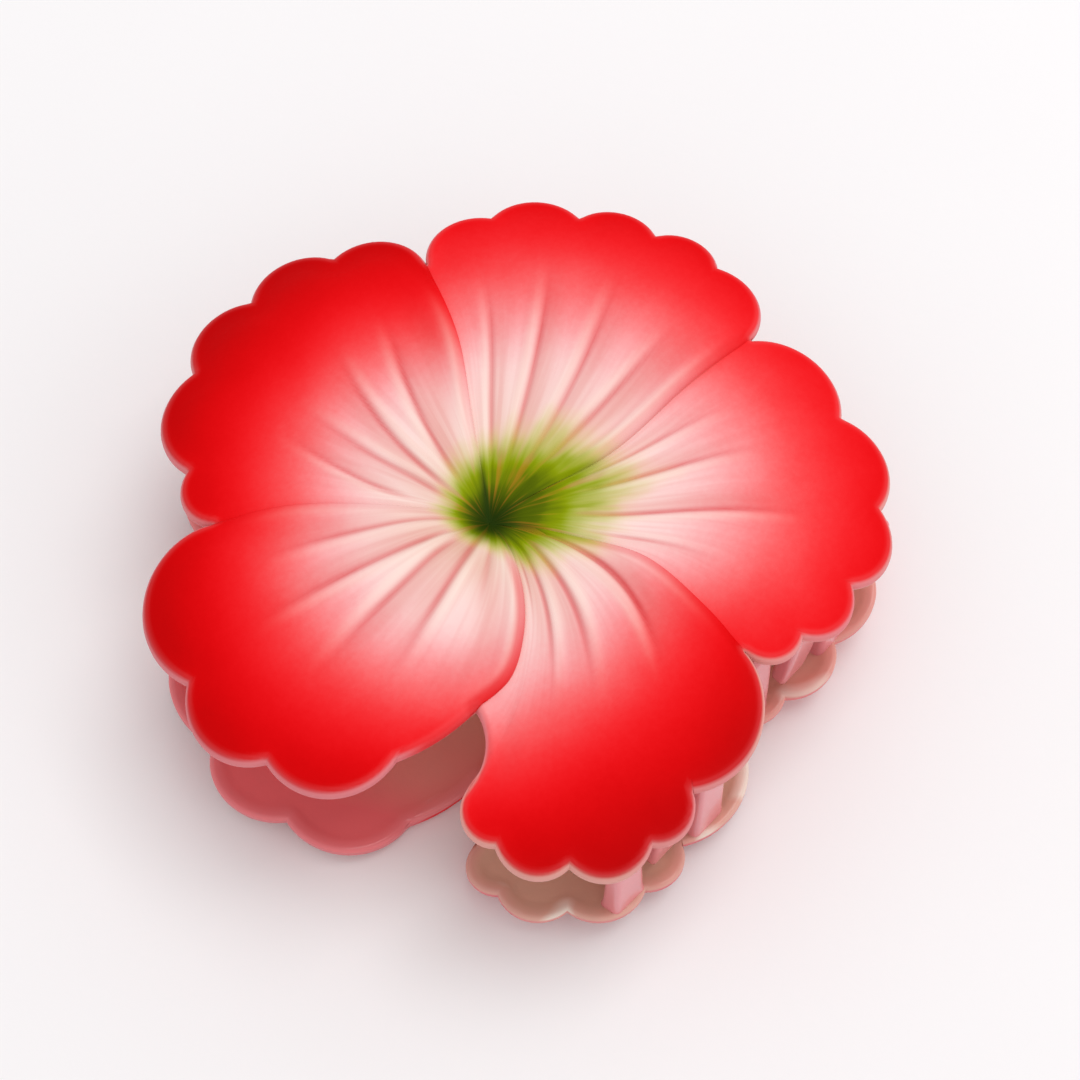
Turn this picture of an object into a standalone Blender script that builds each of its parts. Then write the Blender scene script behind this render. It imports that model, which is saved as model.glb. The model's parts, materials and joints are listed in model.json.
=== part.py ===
"""Flower claw clip for hair: two moulded flower halves, a hinge pin and a torsion spring.

The clip lies on its rear flower, with the front flower facing +Z and the handle petal toward +Y.
The jaws, with their teeth, point to -Y. Lengths are in millimetres until a mesh is made.
"""

import math

import bmesh
import bpy
import numpy as np

MM = 0.001

# The flower half: a domed shell whose centre dips into a funnel
CREST_HEIGHT = 12.8  # from the mid-plane between the halves to the flat crest ring
CREST_INNER_RADIUS = 10.0
CREST_OUTER_RADIUS = 22.0
FUNNEL_DEPTH = 4.3
RIM_RADIUS = 38.0
RIM_DROP = 3.1  # from the crest ring down to the rim at RIM_RADIUS
WALL = 2.0
LOBE_BULGE = 0.27  # a rim lobe's height as a share of its chord
LOBE_STEPS = 5
RING_SHARES = (0.12, 0.24, 0.37, 0.50, 0.64, 0.82, 1.0)  # of the way from the centre to the rim

# Each petal's rim, counter-clockwise from the flower's centre: x, y, bulge of the stretch that follows
HANDLE_PETAL = (
    (17.0, 25.0, LOBE_BULGE),
    (11.0, 33.0, LOBE_BULGE),
    (1.5, 36.0, LOBE_BULGE),
    (-8.5, 34.5, LOBE_BULGE),
    (-17.0, 26.5, LOBE_BULGE),
)
LEFT_PETAL = (
    (-19.5, 20.0, 0.35),
    (-33.0, 10.0, LOBE_BULGE),
    (-33.5, -1.5, LOBE_BULGE),
    (-25.0, -11.0, 0.11),
)
JAW_PETAL = (
    (-16.0, -13.2, -0.17),
    (-22.6, -17.9, 0.30),
    (-24.5, -23.5, LOBE_BULGE),
    (-21.0, -30.0, LOBE_BULGE),
    (-14.0, -34.5, LOBE_BULGE),
    (-7.5, -34.0, 0.28),
)
LOWER_RIGHT_PETAL = (
    (6.5, -28.5, LOBE_BULGE),
    (12.0, -31.5, LOBE_BULGE),
    (20.0, -31.5, LOBE_BULGE),
    (29.0, -28.0, LOBE_BULGE),
    (34.0, -18.5, LOBE_BULGE),
)
UPPER_RIGHT_PETAL = (
    (34.0, -6.0, LOBE_BULGE),
    (38.5, 2.5, LOBE_BULGE),
    (37.0, 10.0, LOBE_BULGE),
    (33.0, 17.5, LOBE_BULGE),
    (26.5, 24.5, LOBE_BULGE),
)
PETALS = (HANDLE_PETAL, LEFT_PETAL, JAW_PETAL, LOWER_RIGHT_PETAL, UPPER_RIGHT_PETAL)
# The lines between petals, from the centre out to the point where the next petal's rim starts
PETAL_EDGES = (
    ((6.8, 8.7), (12.5, 16.0)),
    ((-5.4, 7.2), (-13.1, 15.6)),
    ((-0.9, -3.2), (-7.1, -11.3), (-11.5, -13.5)),
    ((3.9, -7.8), (7.1, -14.5), (7.2, -22.5)),
    ((13.5, -4.5), (25.0, -5.2)),
)

# The hinge, in the mid-plane and parallel to X
HINGE_Y = 7.0  # from the flower's centre toward the handle
PIN_RADIUS = 1.0
BORE_RADIUS = 1.15
PIN_SIDES = 20
PIN_HALF_LENGTH = 9.3
PIN_HEAD_RADIUS = 1.9
PIN_HEAD_LENGTH = 1.0
PIN_HEAD_CROWN_RADIUS = 1.15
PIN_HEAD_CROWN_LENGTH = 0.4
PIN_PEEN_RADIUS = 1.5
PIN_PEEN_LENGTH = 0.7
PIN_PEEN_END_RADIUS = 1.05
PIN_SHARP_ANGLE = math.radians(40)
BORE_OVERSHOOT = 2.0
LUG_THICKNESS = 1.8
LUG_END_RADIUS = 3.0
LUG_ROOT_HALF_WIDTH = 4.4
LUG_TOP = 11.4  # buried in the shell's wall
LUG_ARC_STEPS = 12
FRONT_LUG_X = 5.6
REAR_LUG_X = 8.0

# The teeth alternate between the halves along the jaw rims
TOOTH_PITCH = 6.0
FRONT_TEETH_X = (-10.0, 2.0, 14.0, 26.0)
REAR_TEETH_X = tuple(x - TOOTH_PITCH for x in FRONT_TEETH_X)
TOOTH_INSET = 1.3  # from the rim to the middle of the root
TOOTH_ROOT = (4.4, 2.3)  # width along X, thickness along Y
TOOTH_TIP = (3.6, 1.9)
TOOTH_LEAN = 0.6  # how far the tip reaches back toward the hinge
JAW_RIM_LIMIT_Y = -24.0  # the rim that carries the teeth lies beyond this
TOOTH_BURIED = 1.1
TOOTH_TIP_GAP = 0.9
TOOTH_SECTIONS = 5

# The torsion spring round the pin
WIRE_RADIUS = 0.6
WIRE_RESOLUTION = 2
COIL_RADIUS = 2.7  # to the middle of the wire
COIL_PITCH = 1.4
COIL_WHOLE_TURNS = 4
COIL_STEPS = 18  # in one turn
LEG_REACH = 15.0  # from the hinge toward the handle
LEG_GAP = 0.3
GUIDE_HALF_GAP = 1.0
GUIDE_THICKNESS = 0.8
GUIDE_START = 10.5
GUIDE_END = 14.5
GUIDE_DEPTH = 1.5

PETAL_RED = (0.75, 0.02, 0.03)
REAR_PETAL_RED = (0.72, 0.05, 0.06)
PIN_STEEL = (0.62, 0.62, 0.64)
WIRE_STEEL = (0.45, 0.45, 0.47)
PAINT_ROUGHNESS = 0.5
STEEL_ROUGHNESS = 0.3


def clear_scene():
    for thing in list(bpy.data.objects):
        bpy.data.objects.remove(thing, do_unlink=True)


def painted(name, colour, roughness, metallic):
    material = bpy.data.materials.new(name)
    material.use_nodes = True
    shader = material.node_tree.nodes["Principled BSDF"]
    shader.inputs["Base Color"].default_value = (*colour, 1.0)
    shader.inputs["Roughness"].default_value = roughness
    shader.inputs["Metallic"].default_value = metallic
    material.diffuse_color = (*colour, 1.0)
    return material


def mesh_object(name, points, faces, material=None):
    """An object from points in millimetres."""
    mesh = bpy.data.meshes.new(name)
    mesh.from_pydata([tuple(MM * value for value in point) for point in points], [], faces)
    mesh.update()
    thing = bpy.data.objects.new(name, mesh)
    bpy.context.scene.collection.objects.link(thing)
    if material:
        mesh.materials.append(material)
    return thing


def lobe(start, end, bulge, steps):
    """Points from start, up to but without end, on the arc that bulges to the right of the way there."""
    start, end = np.array(start), np.array(end)
    chord = end - start
    length = np.linalg.norm(chord)
    along = chord / length
    outward = np.array((along[1], -along[0]))
    half_angle = 2.0 * math.atan(2.0 * bulge)
    radius = length / (2.0 * math.sin(half_angle))
    centre = start + 0.5 * chord - outward * radius * math.cos(half_angle)
    angles = [half_angle * (2.0 * step / steps - 1.0) for step in range(steps)]
    return [centre + radius * (math.cos(a) * outward + math.sin(a) * along) for a in angles]


def petal_rim(index):
    """The rim of one petal, from its first point up to the first point of the next petal."""
    corners = list(PETALS[index]) + [PETALS[(index + 1) % len(PETALS)][0]]
    points = []
    for here, there in zip(corners, corners[1:]):
        points += lobe(here[:2], there[:2], here[2], LOBE_STEPS)
    return points + [np.array(corners[-1][:2])]


def petal_edge(index):
    """A function of the share of the way out, 0 to 1, along the line where the petal starts."""
    index %= len(PETALS)
    rows = [(0.0, 0.0), *PETAL_EDGES[index], PETALS[index][0][:2]]
    knots = np.array(rows)
    lengths = np.concatenate([[0.0], np.cumsum(np.linalg.norm(np.diff(knots, axis=0), axis=1))])
    shares = lengths / lengths[-1]
    slopes = np.gradient(knots, shares, axis=0)

    def at(share):
        span = min(np.searchsorted(shares, share, side="right"), len(shares) - 1) - 1
        width = shares[span + 1] - shares[span]
        t = (share - shares[span]) / width
        return (
            (2 * t**3 - 3 * t**2 + 1) * knots[span]
            + (t**3 - 2 * t**2 + t) * width * slopes[span]
            + (3 * t**2 - 2 * t**3) * knots[span + 1]
            + (t**3 - t**2) * width * slopes[span + 1]
        )

    return at


def flower_rings():
    """Closed rings of x, y points, from the innermost to the rim, all with the same number of points."""
    rings = [[] for _ in RING_SHARES]
    for index in range(len(PETALS)):
        rim = petal_rim(index)
        first, last = petal_edge(index), petal_edge(index + 1)
        for ring, share in zip(rings, RING_SHARES):
            for number, point in enumerate(rim[:-1]):
                across = number / (len(rim) - 1)
                sides = (1 - across) * first(share) + across * last(share)
                ends = (1 - across) * rim[0] + across * rim[-1]
                ring.append(sides + share * (point - ends))
    return rings


def shell_height(x, y):
    """Height of the shell's outer face over the mid-plane."""
    radius = math.hypot(x, y)
    if radius < CREST_INNER_RADIUS:
        return CREST_HEIGHT - FUNNEL_DEPTH * (1 - radius / CREST_INNER_RADIUS) ** 2
    if radius < CREST_OUTER_RADIUS:
        return CREST_HEIGHT
    fall = (radius - CREST_OUTER_RADIUS) / (RIM_RADIUS - CREST_OUTER_RADIUS)
    return CREST_HEIGHT - RIM_DROP * fall**2


def shell_mesh():
    """Points and faces of the front shell, closed, with its faces pointing out."""
    rings = flower_rings()
    count = len(rings[0])
    outer = [(0.0, 0.0, shell_height(0.0, 0.0))]
    for ring in rings:
        outer += [(x, y, shell_height(x, y)) for x, y in ring]
    points = outer + [(x, y, z - WALL) for x, y, z in outer]
    under = len(outer)
    faces = []
    for here in range(count):
        there = (here + 1) % count
        faces.append((0, 1 + here, 1 + there))
        faces.append((under, under + 1 + there, under + 1 + here))
        for ring in range(len(rings) - 1):
            a, b = 1 + ring * count + here, 1 + ring * count + there
            c, d = b + count, a + count
            faces.append((a, d, c, b))
            faces.append((under + a, under + b, under + c, under + d))
        last = 1 + (len(rings) - 1) * count
        faces.append((last + here, under + last + here, under + last + there, last + there))
    return points, faces


def jaw_rim(x):
    """y of the rim on the jaw side, where it comes least far out over the width of a tooth root."""
    rim = petal_rim(PETALS.index(JAW_PETAL)) + petal_rim(PETALS.index(LOWER_RIGHT_PETAL))
    low = sorted((float(point[0]), float(point[1])) for point in rim if point[1] < JAW_RIM_LIMIT_Y)
    places = (x - 0.5 * TOOTH_ROOT[0], x, x + 0.5 * TOOTH_ROOT[0])
    return float(np.interp(places, [point[0] for point in low], [point[1] for point in low]).max())


def add_loft(points, faces, sections):
    """Adds a closed solid through sections that have equal numbers of points, each in the same order."""
    start, count = len(points), len(sections[0])
    for section in sections:
        points += section
    faces.append(tuple(start + i for i in reversed(range(count))))
    for number in range(len(sections) - 1):
        low = start + number * count
        for i in range(count):
            j = (i + 1) % count
            faces.append((low + i, low + j, low + count + j, low + count + i))
    top = start + (len(sections) - 1) * count
    faces.append(tuple(top + i for i in range(count)))


def add_tooth(points, faces, x):
    """A tooth from the shell's rim down to just over the other half's inner face."""
    root_y = jaw_rim(x) + TOOTH_INSET
    tip_y = root_y + TOOTH_LEAN
    root_z = shell_height(x, root_y) - TOOTH_BURIED
    tip_z = TOOTH_TIP_GAP + WALL - shell_height(x, tip_y)
    sections = []
    for number in range(TOOTH_SECTIONS):
        share = number / (TOOTH_SECTIONS - 1)
        width = TOOTH_TIP[0] * share + TOOTH_ROOT[0] * (1 - share)
        depth = TOOTH_TIP[1] * share + TOOTH_ROOT[1] * (1 - share)
        y = root_y + TOOTH_LEAN * share**2
        z = root_z + (tip_z - root_z) * share
        corners = ((-1, -1), (-1, 1), (1, 1), (1, -1))
        sections.append([(x + 0.5 * width * i, y + 0.5 * depth * j, z) for i, j in corners])
    add_loft(points, faces, sections)


def add_lug(points, faces, x):
    """A hinge lug: a plate across X that narrows to a round end at the pin."""
    outline = [(HINGE_Y - LUG_ROOT_HALF_WIDTH, LUG_TOP)]
    for step in range(LUG_ARC_STEPS + 1):
        angle = math.pi * (1 + step / LUG_ARC_STEPS)
        outline.append(
            (HINGE_Y + LUG_END_RADIUS * math.cos(angle), LUG_END_RADIUS * math.sin(angle))
        )
    outline.append((HINGE_Y + LUG_ROOT_HALF_WIDTH, LUG_TOP))
    half = 0.5 * LUG_THICKNESS
    sides = [[(x + side, y, z) for y, z in outline] for side in (-half, half)]
    add_loft(points, faces, sides)


def add_guide(points, faces, x):
    """A short rib on the shell's inner face, which keeps a spring leg from sliding along X."""
    half = 0.5 * GUIDE_THICKNESS
    sections = []
    for y in (HINGE_Y + GUIDE_START, HINGE_Y + GUIDE_END):
        top = shell_height(x, y) - 0.5 * WALL
        low = shell_height(x, y) - WALL - GUIDE_DEPTH
        sections.append([(x - half, y, top), (x + half, y, top), (x + half, y, low), (x - half, y, low)])
    add_loft(points, faces, sections)


def coil_half_width():
    """Half the length of the coil along the pin, to the middle of its end turns."""
    return 0.5 * COIL_PITCH * (COIL_WHOLE_TURNS + leg_wrap() / (2 * math.pi))


def leg_angle():
    """Angle round the hinge, from +Y toward +Z, where the front leg leaves the coil at a tangent."""
    y, z = leg_tip()
    return math.atan2(z, y) - math.asin(COIL_RADIUS / math.hypot(y, z)) + 0.5 * math.pi


def leg_tip():
    """y from the hinge and z of the end of a leg's centreline, just under the front crest ring."""
    return LEG_REACH, CREST_HEIGHT - WALL - LEG_GAP - WIRE_RADIUS


def leg_wrap():
    """The part of a turn, in radians, that the coil makes besides its whole turns."""
    return 2 * (math.pi - leg_angle())


def spring_route():
    """Points along the wire, from the rear leg's end round the coil to the front leg's end."""
    half = coil_half_width()
    reach, height = leg_tip()
    turned = 2 * math.pi * COIL_WHOLE_TURNS + leg_wrap()
    steps = round(COIL_STEPS * turned / (2 * math.pi))
    route = [(-half, HINGE_Y + reach, -height)]
    for step in range(steps + 1):
        share = step / steps
        angle = -leg_angle() - turned * share
        x = half * (2 * share - 1)
        route.append((x, HINGE_Y + COIL_RADIUS * math.cos(angle), COIL_RADIUS * math.sin(angle)))
    route.append((half, HINGE_Y + reach, height))
    return route


def flower_frame():
    """The empty that every piece hangs from, with the whole clip's box centred on the origin."""
    rim = np.array(flower_rings()[-1])
    middle = 0.5 * (rim.min(axis=0) + rim.max(axis=0))
    frame = bpy.data.objects.new("flower_frame", None)
    bpy.context.scene.collection.objects.link(frame)
    frame.location = (-MM * middle[0], -MM * middle[1], MM * CREST_HEIGHT)
    return frame


def turned_points(profile):
    """Points of a solid of revolution about X from (x, radius) pairs, with sides along X."""
    sections = []
    for x, radius in profile:
        angles = [2 * math.pi * side / PIN_SIDES for side in range(PIN_SIDES)]
        sections.append([(x, radius * math.cos(a), radius * math.sin(a)) for a in angles])
    return sections


def boolean(target, cutter, operation):
    cutter.hide_render = True
    cutter.display_type = "WIRE"
    modifier = target.modifiers.new(operation.lower(), "BOOLEAN")
    modifier.operation = operation
    modifier.solver = "EXACT"
    modifier.object = cutter


def pin_bore(name):
    end = PIN_HALF_LENGTH + BORE_OVERSHOOT
    sections = turned_points([(-end, BORE_RADIUS), (end, BORE_RADIUS)])
    points, faces = [], []
    add_loft(points, faces, sections)
    return mesh_object(name, [(x, y + HINGE_Y, z) for x, y, z in points], faces)


def mirrored(points, faces):
    """The same solid on the other side of the mid-plane."""
    return [(x, y, -z) for x, y, z in points], [tuple(reversed(face)) for face in faces]


def flower_half(name, teeth, lug_x, leg_side, front, material, frame):
    """One moulding: the flower's shell with its teeth, hinge lugs and spring guides joined on."""
    fittings, fitting_faces = [], []
    for x in teeth:
        add_tooth(fittings, fitting_faces, x)
    for x in (-lug_x, lug_x):
        add_lug(fittings, fitting_faces, x)
    for side in (-1, 1):
        offset = side * (GUIDE_HALF_GAP + 0.5 * GUIDE_THICKNESS)
        add_guide(fittings, fitting_faces, leg_side * coil_half_width() + offset)
    shell = shell_mesh()
    joined = (fittings, fitting_faces)
    if not front:
        shell = mirrored(*shell)
        joined = mirrored(*joined)
    half = mesh_object(name, *shell, material)
    cutters = (mesh_object(name + "_fittings", *joined), pin_bore(name + "_bore"))
    for cutter in cutters:
        facing_out(cutter)
        cutter.parent = frame
    boolean(half, cutters[0], "UNION")
    boolean(half, cutters[1], "DIFFERENCE")
    half.parent = frame
    return half


def facing_out(thing):
    bm = bmesh.new()
    bm.from_mesh(thing.data)
    bmesh.ops.recalc_face_normals(bm, faces=bm.faces)
    bm.to_mesh(thing.data)
    bm.free()


def hinge_pin(material, frame):
    end = PIN_HALF_LENGTH
    profile = [
        (-end - PIN_PEEN_LENGTH, PIN_PEEN_END_RADIUS),
        (-end - 0.5 * PIN_PEEN_LENGTH, PIN_PEEN_RADIUS),
        (-end, PIN_PEEN_RADIUS),
        (-end, PIN_RADIUS),
        (end, PIN_RADIUS),
        (end, PIN_HEAD_RADIUS),
        (end + PIN_HEAD_LENGTH - PIN_HEAD_CROWN_LENGTH, PIN_HEAD_RADIUS),
        (end + PIN_HEAD_LENGTH, PIN_HEAD_CROWN_RADIUS),
    ]
    points, faces = [], []
    add_loft(points, faces, turned_points(profile))
    pin = mesh_object("hinge_pin", points, faces, material)
    facing_out(pin)
    pin.data.shade_smooth()
    pin.data.set_sharp_from_angle(angle=PIN_SHARP_ANGLE)
    pin.parent = frame
    pin.location = (0.0, MM * HINGE_Y, 0.0)
    return pin


def torsion_spring(material, frame):
    curve = bpy.data.curves.new("torsion_spring", "CURVE")
    curve.dimensions = "3D"
    curve.bevel_depth = MM * WIRE_RADIUS
    curve.bevel_resolution = WIRE_RESOLUTION
    curve.use_fill_caps = True
    route = spring_route()
    spline = curve.splines.new("POLY")
    spline.points.add(len(route) - 1)
    for point, (x, y, z) in zip(spline.points, route):
        point.co = (MM * x, MM * (y - HINGE_Y), MM * z, 1.0)
    spring = bpy.data.objects.new("torsion_spring", curve)
    bpy.context.scene.collection.objects.link(spring)
    curve.materials.append(material)
    spring.parent = frame
    spring.location = (0.0, MM * HINGE_Y, 0.0)
    return spring


def main():
    clear_scene()
    frame = flower_frame()
    petal_red = painted("petal_red", PETAL_RED, PAINT_ROUGHNESS, 0.0)
    rear_red = painted("rear_petal_red", REAR_PETAL_RED, PAINT_ROUGHNESS, 0.0)
    steel = painted("pin_steel", PIN_STEEL, STEEL_ROUGHNESS, 1.0)
    wire = painted("spring_wire", WIRE_STEEL, STEEL_ROUGHNESS, 1.0)
    flower_half("front_half", FRONT_TEETH_X, FRONT_LUG_X, 1, True, petal_red, frame)
    flower_half("rear_half", REAR_TEETH_X, REAR_LUG_X, -1, False, rear_red, frame)
    hinge_pin(steel, frame)
    torsion_spring(wire, frame)


main()
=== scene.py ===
"""Looks of the flower claw clip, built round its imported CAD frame.

Shapes are worked out in millimetres from the flower's centre, in the mid-plane between the halves,
with the handle petal toward +Y. They become metres in the frame's own coordinates when a mesh is made.
"""

import json
import math

import bpy
import numpy as np
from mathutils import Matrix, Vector


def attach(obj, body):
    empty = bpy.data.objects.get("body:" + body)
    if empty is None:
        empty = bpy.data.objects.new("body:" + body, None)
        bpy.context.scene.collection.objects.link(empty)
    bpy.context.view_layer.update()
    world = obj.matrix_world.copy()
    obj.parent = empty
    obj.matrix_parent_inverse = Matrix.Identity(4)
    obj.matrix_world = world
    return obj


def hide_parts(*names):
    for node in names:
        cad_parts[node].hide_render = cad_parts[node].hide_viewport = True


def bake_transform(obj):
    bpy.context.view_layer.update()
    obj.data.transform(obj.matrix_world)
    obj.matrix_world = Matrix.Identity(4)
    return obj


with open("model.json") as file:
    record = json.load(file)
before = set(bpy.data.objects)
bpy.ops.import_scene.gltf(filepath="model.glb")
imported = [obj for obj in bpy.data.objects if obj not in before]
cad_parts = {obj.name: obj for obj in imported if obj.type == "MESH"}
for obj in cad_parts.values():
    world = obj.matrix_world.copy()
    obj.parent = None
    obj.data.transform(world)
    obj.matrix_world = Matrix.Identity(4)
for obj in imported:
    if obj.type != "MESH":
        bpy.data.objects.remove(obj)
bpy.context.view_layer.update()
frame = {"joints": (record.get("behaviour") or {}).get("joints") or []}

MM = 0.001
hinge = next(joint for joint in frame["joints"] if joint["name"] == "jaw_hinge")
HINGE_Y = 7.0  # from the flower's centre toward the handle
CENTRE = Vector(hinge["pos_m"]) - Vector((0.0, MM * HINGE_Y, 0.0))

# Camera
VIEW_TURN = math.radians(47.5)  # from +Y toward +X, the way the camera looks over the floor
VIEW_ELEVATION = math.radians(67.0)
VIEW_DISTANCE = 0.25
VIEW_TARGET = (5.08, -2.30)  # the point that the camera looks at, from the flower's centre
LENS = 78.8
SENSOR = 36.0
CLIP_START = 0.01

# The shell, as in the CAD model
CREST_HEIGHT = 12.8
CREST_INNER_RADIUS = 10.0
CREST_OUTER_RADIUS = 22.0
RIM_RADIUS = 38.0
RIM_DROP = 3.1
WALL = 2.0

LOBE = 0.27  # a rim lobe's height as a share of its chord
PETALS = (
    ((17.0, 25.0, LOBE), (11.0, 33.0, LOBE), (1.5, 36.0, LOBE), (-8.5, 34.5, LOBE), (-17.0, 26.5, LOBE)),
    ((-19.5, 20.0, 0.35), (-33.0, 10.0, LOBE), (-33.5, -1.5, LOBE), (-25.0, -11.0, 0.06)),
    (
        (-16.0, -13.2, -0.17),
        (-22.6, -17.9, 0.30),
        (-24.5, -23.5, LOBE),
        (-21.0, -30.0, LOBE),
        (-14.0, -34.5, LOBE),
        (-7.5, -34.0, 0.28),
    ),
    (
        (6.5, -28.5, LOBE),
        (12.0, -31.5, LOBE),
        (20.0, -31.5, LOBE),
        (29.0, -28.0, LOBE),
        (34.0, -18.5, LOBE),
    ),
    ((34.0, -6.0, LOBE), (38.5, 2.5, LOBE), (37.0, 10.0, LOBE), (33.0, 17.5, LOBE), (26.5, 24.5, LOBE)),
)
PETAL_EDGES = (
    ((6.8, 8.7), (12.5, 16.0)),
    ((-5.4, 7.2), (-13.1, 15.6)),
    ((-0.9, -3.2), (-7.1, -11.3), (-11.5, -13.5)),
    ((3.9, -7.8), (7.1, -14.5), (7.2, -22.5)),
    ((13.5, -4.5), (25.0, -5.2)),
)
# For the edge where each petal starts and the one where it ends: True where it lies over its neighbour
OVER = ((True, False), (True, True), (False, True), (False, False), (True, False))
# Each petal's veins: place across it near the centre and at the outer end, the shares of the way out
# where the vein starts and fades, depth in mm, and the side that its ridge, with its painted highlight,
# lies on
VEINS = (
    (
        (0.40, 0.22, 0.12, 0.70, 0.34, 1),
        (0.62, 0.41, 0.12, 0.68, 0.36, -1),
        (0.71, 0.62, 0.14, 0.66, 0.26, -1),
        (0.88, 0.71, 0.28, 0.68, 0.30, 1),
        (0.89, 0.83, 0.26, 0.56, 0.20, 1),
    ),
    (
        (0.18, 0.18, 0.12, 0.76, 0.26, 1),
        (0.37, 0.32, 0.14, 0.84, 0.34, 1),
        (0.44, 0.51, 0.14, 0.82, 0.34, -1),
        (0.58, 0.64, 0.12, 0.74, 0.34, 1),
        (0.74, 0.78, 0.16, 0.54, 0.18, 1),
    ),
    (
        (0.91, 0.72, 0.06, 0.74, 0.55, -1),
        (0.51, 0.47, 0.14, 0.70, 0.36, 1),
        (0.28, 0.31, 0.14, 0.70, 0.32, 1),
        (0.12, 0.15, 0.20, 0.50, 0.14, 1),
    ),
    (
        (0.92, 0.85, 0.26, 0.72, 0.26, -1),
        (0.72, 0.67, 0.22, 0.70, 0.34, -1),
        (0.57, 0.56, 0.28, 0.52, 0.14, 1),
        (0.39, 0.46, 0.22, 0.80, 0.32, -1),
        (0.17, 0.20, 0.30, 0.66, 0.20, 1),
    ),
    (
        (0.83, 0.82, 0.14, 0.78, 0.26, 1),
        (0.61, 0.62, 0.14, 0.78, 0.33, 1),
        (0.41, 0.42, 0.16, 0.78, 0.30, 1),
        (0.28, 0.19, 0.16, 0.74, 0.30, 1),
        (0.11, 0.10, 0.22, 0.54, 0.20, 1),
    ),
)
# How far out a petal's red deepens, partly real spray and partly painted shade at the tips: where the
# petal starts, in its middle and where it ends, mm
PAINT_REACH = (
    (32.5, 34.5, 31.5),
    (31.0, 35.0, 28.5),
    (40.0, 35.0, 33.0),
    (37.0, 48.5, 45.5),
    (45.5, 44.5, 41.0),
)
RED_END = 1.2  # the red field and its colours go on to this multiple of that reach
WRAPPED = (0.0, 0.85, 0.0, 0.0, 0.0)  # how far a petal's paint covers its rim's wall near where it ends
BARE = (0.15, 0.0, 0.9, 0.6, 0.3)  # how little overspray a petal's inner face has
# How far the green centre spreads, every 30 degrees from +Y toward +X, mm
GREEN_REACH = (6.4, 7.6, 9.6, 12.8, 16.0, 12.6, 8.4, 4.6, 3.6, 3.8, 4.4, 5.6)


def smooth(value, low, high):
    share = np.clip((value - low) / (high - low), 0.0, 1.0)
    return share * share * (3.0 - 2.0 * share)


def bell(distance, width):
    return np.exp(-((distance / width) ** 2))


def rounding(gap, radius, strength=1.0):
    """How far a rounded edge falls away, by the gap to the edge."""
    short = np.clip(radius - gap, 0, radius) * strength
    return radius - np.sqrt(np.clip(radius**2 - short**2, 0, None))


# ---- outlines -------------------------------------------------------------------------------------

RIM_POINTS = 2.0  # along a petal's rim, per mm
LOBE_POINTS_LEAST = 6


def lobe(start, end, bulge, steps):
    start, end = np.array(start), np.array(end)
    chord = end - start
    length = np.linalg.norm(chord)
    along = chord / length
    outward = np.array((along[1], -along[0]))
    half_angle = 2.0 * math.atan(2.0 * bulge)
    radius = length / (2.0 * math.sin(half_angle))
    centre = start + 0.5 * chord - outward * radius * math.cos(half_angle)
    angles = half_angle * (2.0 * np.arange(steps) / steps - 1.0)
    return centre + radius * (np.outer(np.cos(angles), outward) + np.outer(np.sin(angles), along))


def petal_rim(index):
    corners = list(PETALS[index]) + [PETALS[(index + 1) % len(PETALS)][0]]
    runs = []
    for here, there in zip(corners, corners[1:]):
        length = math.dist(here[:2], there[:2])
        runs.append(lobe(here[:2], there[:2], here[2], max(LOBE_POINTS_LEAST, round(RIM_POINTS * length))))
    return np.concatenate([*runs, [corners[-1][:2]]])


def petal_edge(index, shares):
    """Points at the given shares of the way out along the line where the petal starts."""
    index %= len(PETALS)
    knots = np.array([(0.0, 0.0), *PETAL_EDGES[index], PETALS[index][0][:2]])
    lengths = np.concatenate([[0.0], np.cumsum(np.linalg.norm(np.diff(knots, axis=0), axis=1))])
    at = lengths / lengths[-1]
    slopes = np.gradient(knots, at, axis=0)
    span = np.clip(np.searchsorted(at, shares, side="right") - 1, 0, len(at) - 2)
    width = (at[span + 1] - at[span])[:, None]
    t = ((shares - at[span]) / width[:, 0])[:, None]
    return (
        (2 * t**3 - 3 * t**2 + 1) * knots[span]
        + (t**3 - 2 * t**2 + t) * width * slopes[span]
        + (3 * t**2 - 2 * t**3) * knots[span + 1]
        + (t**3 - t**2) * width * slopes[span + 1]
    )


def distance_to(points, line):
    """Distance of each point to a line of short straight pieces."""
    best = np.full(len(points), 1e9)
    for a, b in zip(line, line[1:]):
        d = b - a
        t = np.clip(((points - a) @ d) / (d @ d), 0.0, 1.0)
        best = np.minimum(best, np.linalg.norm(points - a - t[:, None] * d, axis=1))
    return best


# ---- the petals' surface --------------------------------------------------------------------------

STEP = 1.1  # between overlapping petals
STEP_FADE = 0.35  # the share of a step that is gone at the rim
EDGE_ROLL = 0.35  # how far a petal rolls down toward the neighbour that it lies over
EDGE_ROLL_WIDTH = 1.3
RIM_ROLL = 0.15
RIM_ROLL_WIDTH = 1.6
CROWN = 0.35
INNER_CROWN = 0.6  # of the outer face's crown
VISUAL_SINK = 0.6  # how far the smooth shell lies under the CAD's crest, to leave room for the crowns
TIP_FALL = 0.1  # how much farther the tips bend down than the smooth shell
TIP_START = 26.0  # from the centre
CENTRE_PIT = 0.5
CENTRE_PIT_WIDTH = 1.8
THROAT_DEPTH = 2.3  # of the funnel in the smooth shell
LEAST_WALL = 0.35
CREASE_SHADE_WIDTH = 0.35  # of the painted shade along the crease where two petals meet in the throat
CREASE_SHADE_FADE = (2.5, 7.5)  # from the centre, where that line fades
CREASE_SHADE_STRENGTHS = (1.0, 0.0, 0.5, 0.8, 0.6)  # how dark that line is where each petal starts
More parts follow.
